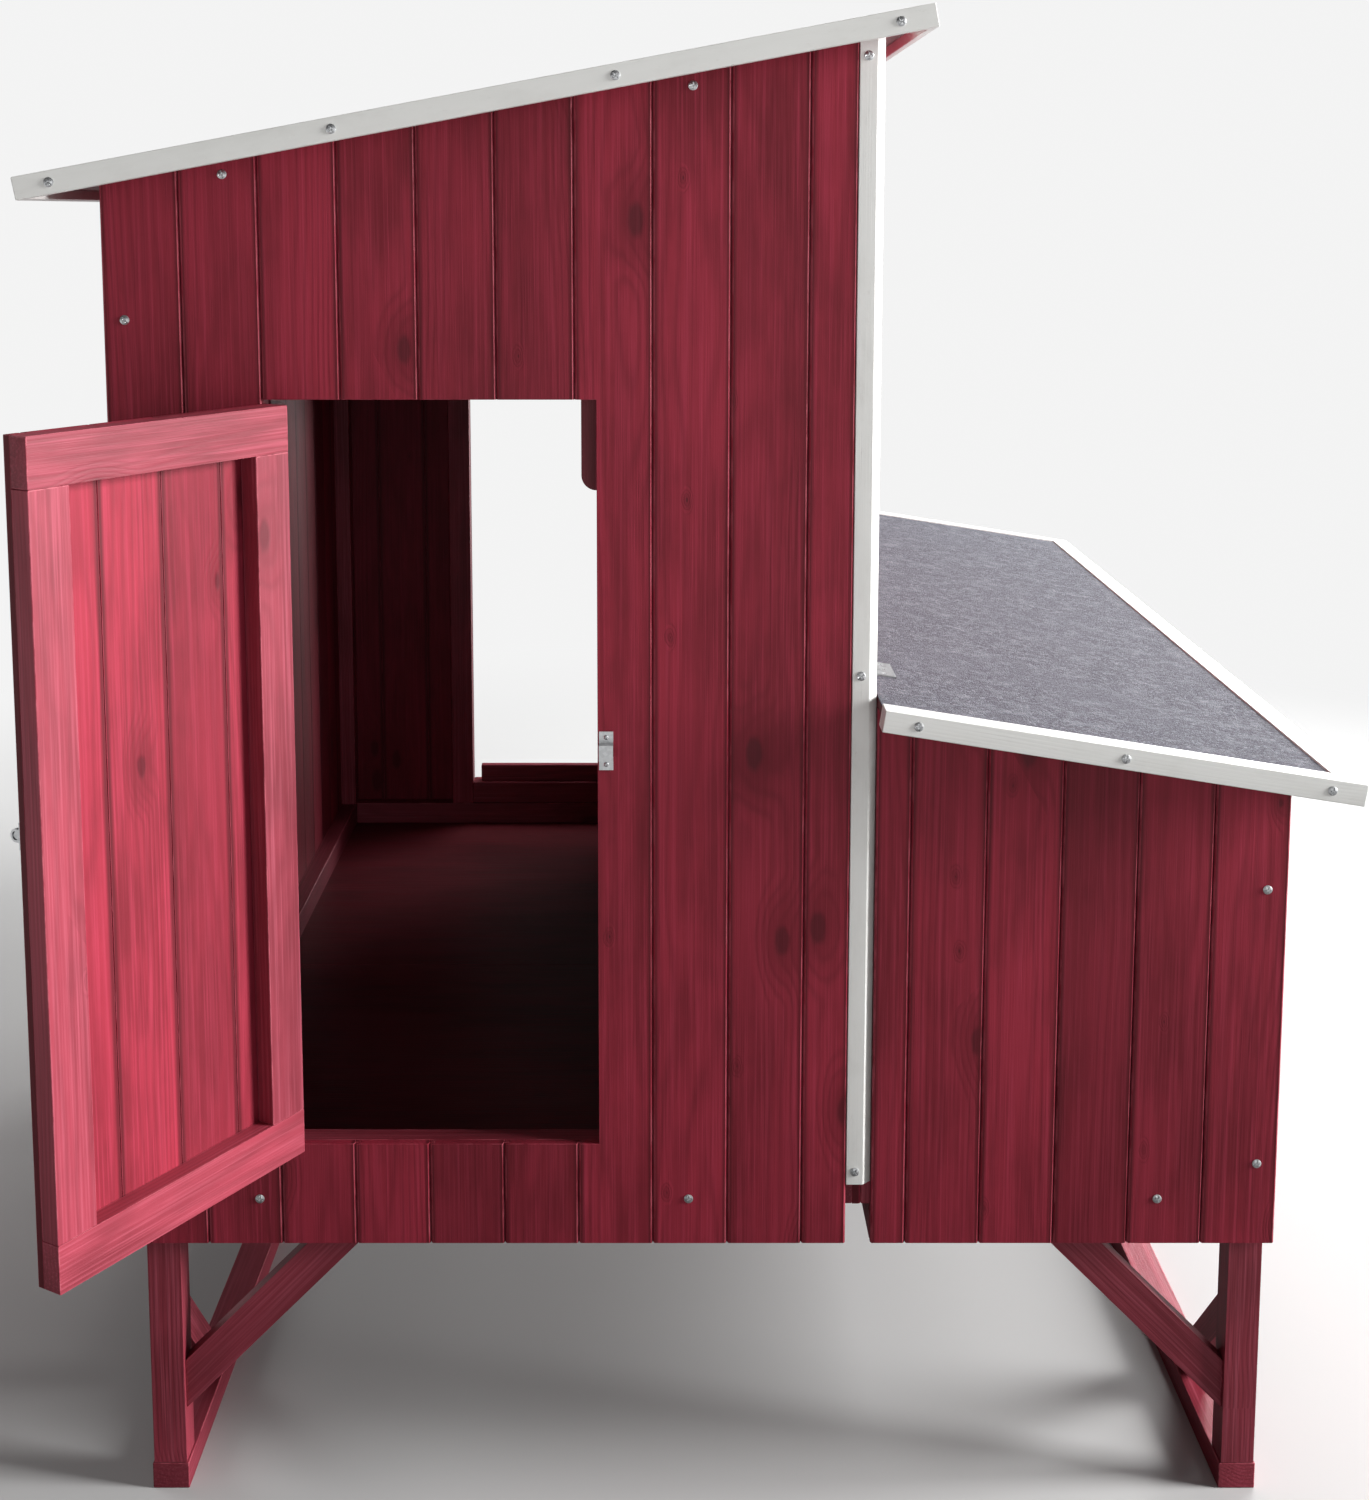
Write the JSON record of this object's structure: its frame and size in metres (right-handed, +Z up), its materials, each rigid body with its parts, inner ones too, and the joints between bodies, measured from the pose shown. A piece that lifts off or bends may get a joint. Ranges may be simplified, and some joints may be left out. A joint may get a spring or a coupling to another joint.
{
  "type": "chicken coop",
  "caption": "Raised timber hen house on skids with a sloping felt roof, two hinged doors with bolts and a side nest box under a lifting lid.",
  "frame": {"origin": "on the ground under the middle of the assembly's box", "axes": "+Z up, +X from the house towards the nest box, +Y from the front door towards the back door"},
  "size_m": [1.2827, 1.915, 1.5111],
  "materials": {
    "stained_boards": "red stain, satin",
    "stained_battens": "red stain, satin",
    "floor_board": "red stain, matt",
    "white_paint": "white paint, satin",
    "mineral_felt": "mineral granules, matt",
    "zinc_steel": "zinc plated"
  },
  "bodies": {
    "house": {"front_wall_boards": "stained_boards", "back_wall_boards": "stained_boards", "left_wall_boards": "stained_boards", "right_wall_boards": "stained_boards", "nest_end_boards": "stained_boards", "nest_outer_boards": "stained_boards", "front_wall_frame": "stained_battens", "back_wall_frame": "stained_battens", "left_wall_frame": "stained_battens", "right_wall_frame": "stained_battens", "nest_frame": "stained_battens", "roof_rafters": "stained_battens", "lid_hinge_rail": "stained_battens", "leg_front_left": "stained_battens", "leg_front_right": "stained_battens", "leg_back_left": "stained_battens", "leg_back_right": "stained_battens", "skid_left": "stained_battens", "skid_right": "stained_battens", "skid_braces_left": "stained_battens", "skid_braces_right": "stained_battens", "face_braces_front": "stained_battens", "face_braces_back": "stained_battens", "door_stops": "stained_battens", "back_threshold_bar": "stained_battens", "perch": "stained_battens", "perch_brackets": "stained_battens", "floor_bearers": "stained_battens", "nest_dividers": "stained_battens", "floor_panel_front": "floor_board", "floor_panel_back": "floor_board", "nest_floor": "floor_board", "front_corner_trims": "white_paint", "back_corner_trims": "white_paint", "roof_fascia_front": "white_paint", "roof_fascia_back": "white_paint", "roof_fascia_low": "white_paint", "roof_fascia_high": "white_paint", "roof_felt": "mineral_felt", "roof_deck": "stained_boards", "bolt_keepers": "zinc_steel", "jamb_hinge_leaves": "zinc_steel", "lid_rail_hinge_leaves": "zinc_steel", "house_screws": "zinc_steel"},
    "front_door": {"front_door_boards": "stained_boards", "front_door_frame": "stained_battens", "front_door_hinge_leaves": "zinc_steel", "front_door_bolt_barrel": "zinc_steel"},
    "front_bolt": {"front_door_bolt": "zinc_steel"},
    "back_door": {"back_door_boards": "stained_boards", "back_door_frame": "stained_battens", "back_door_hinge_leaves": "zinc_steel", "back_door_bolt_barrel": "zinc_steel"},
    "back_bolt": {"back_door_bolt": "zinc_steel"},
    "lid": {"lid_panel": "stained_boards", "lid_felt": "mineral_felt", "lid_trims": "white_paint", "lid_hinge_leaves": "zinc_steel", "lid_screws": "zinc_steel"}
  },
  "joints": [
    {"name": "front_door_hinge", "type": "hinge", "parent": "house", "child": "front_door", "pos_m": [-0.424, -0.6688, 0.762], "axis": [0, 0, 1], "range_deg": [-25, 121.5]},
    {"name": "front_bolt_slide", "type": "slide", "parent": "front_door", "child": "front_bolt", "axis": [-0.5225, -0.8526, 0], "range_m": [0, 0.026]},
    {"name": "back_door_hinge", "type": "hinge", "parent": "house", "child": "back_door", "pos_m": [-0.0285, 0.6688, 0.762], "axis": [0, 0, 1], "range_deg": [-25, 121.5]},
    {"name": "back_bolt_slide", "type": "slide", "parent": "back_door", "child": "back_bolt", "axis": [0.5225, 0.8526, 0], "range_m": [0, 0.026]},
    {"name": "lid_hinge", "type": "hinge", "parent": "house", "child": "lid", "pos_m": [0.1773, 0, 0.8498], "axis": [0, -1, 0], "range_deg": [0, 95]}
  ]
}
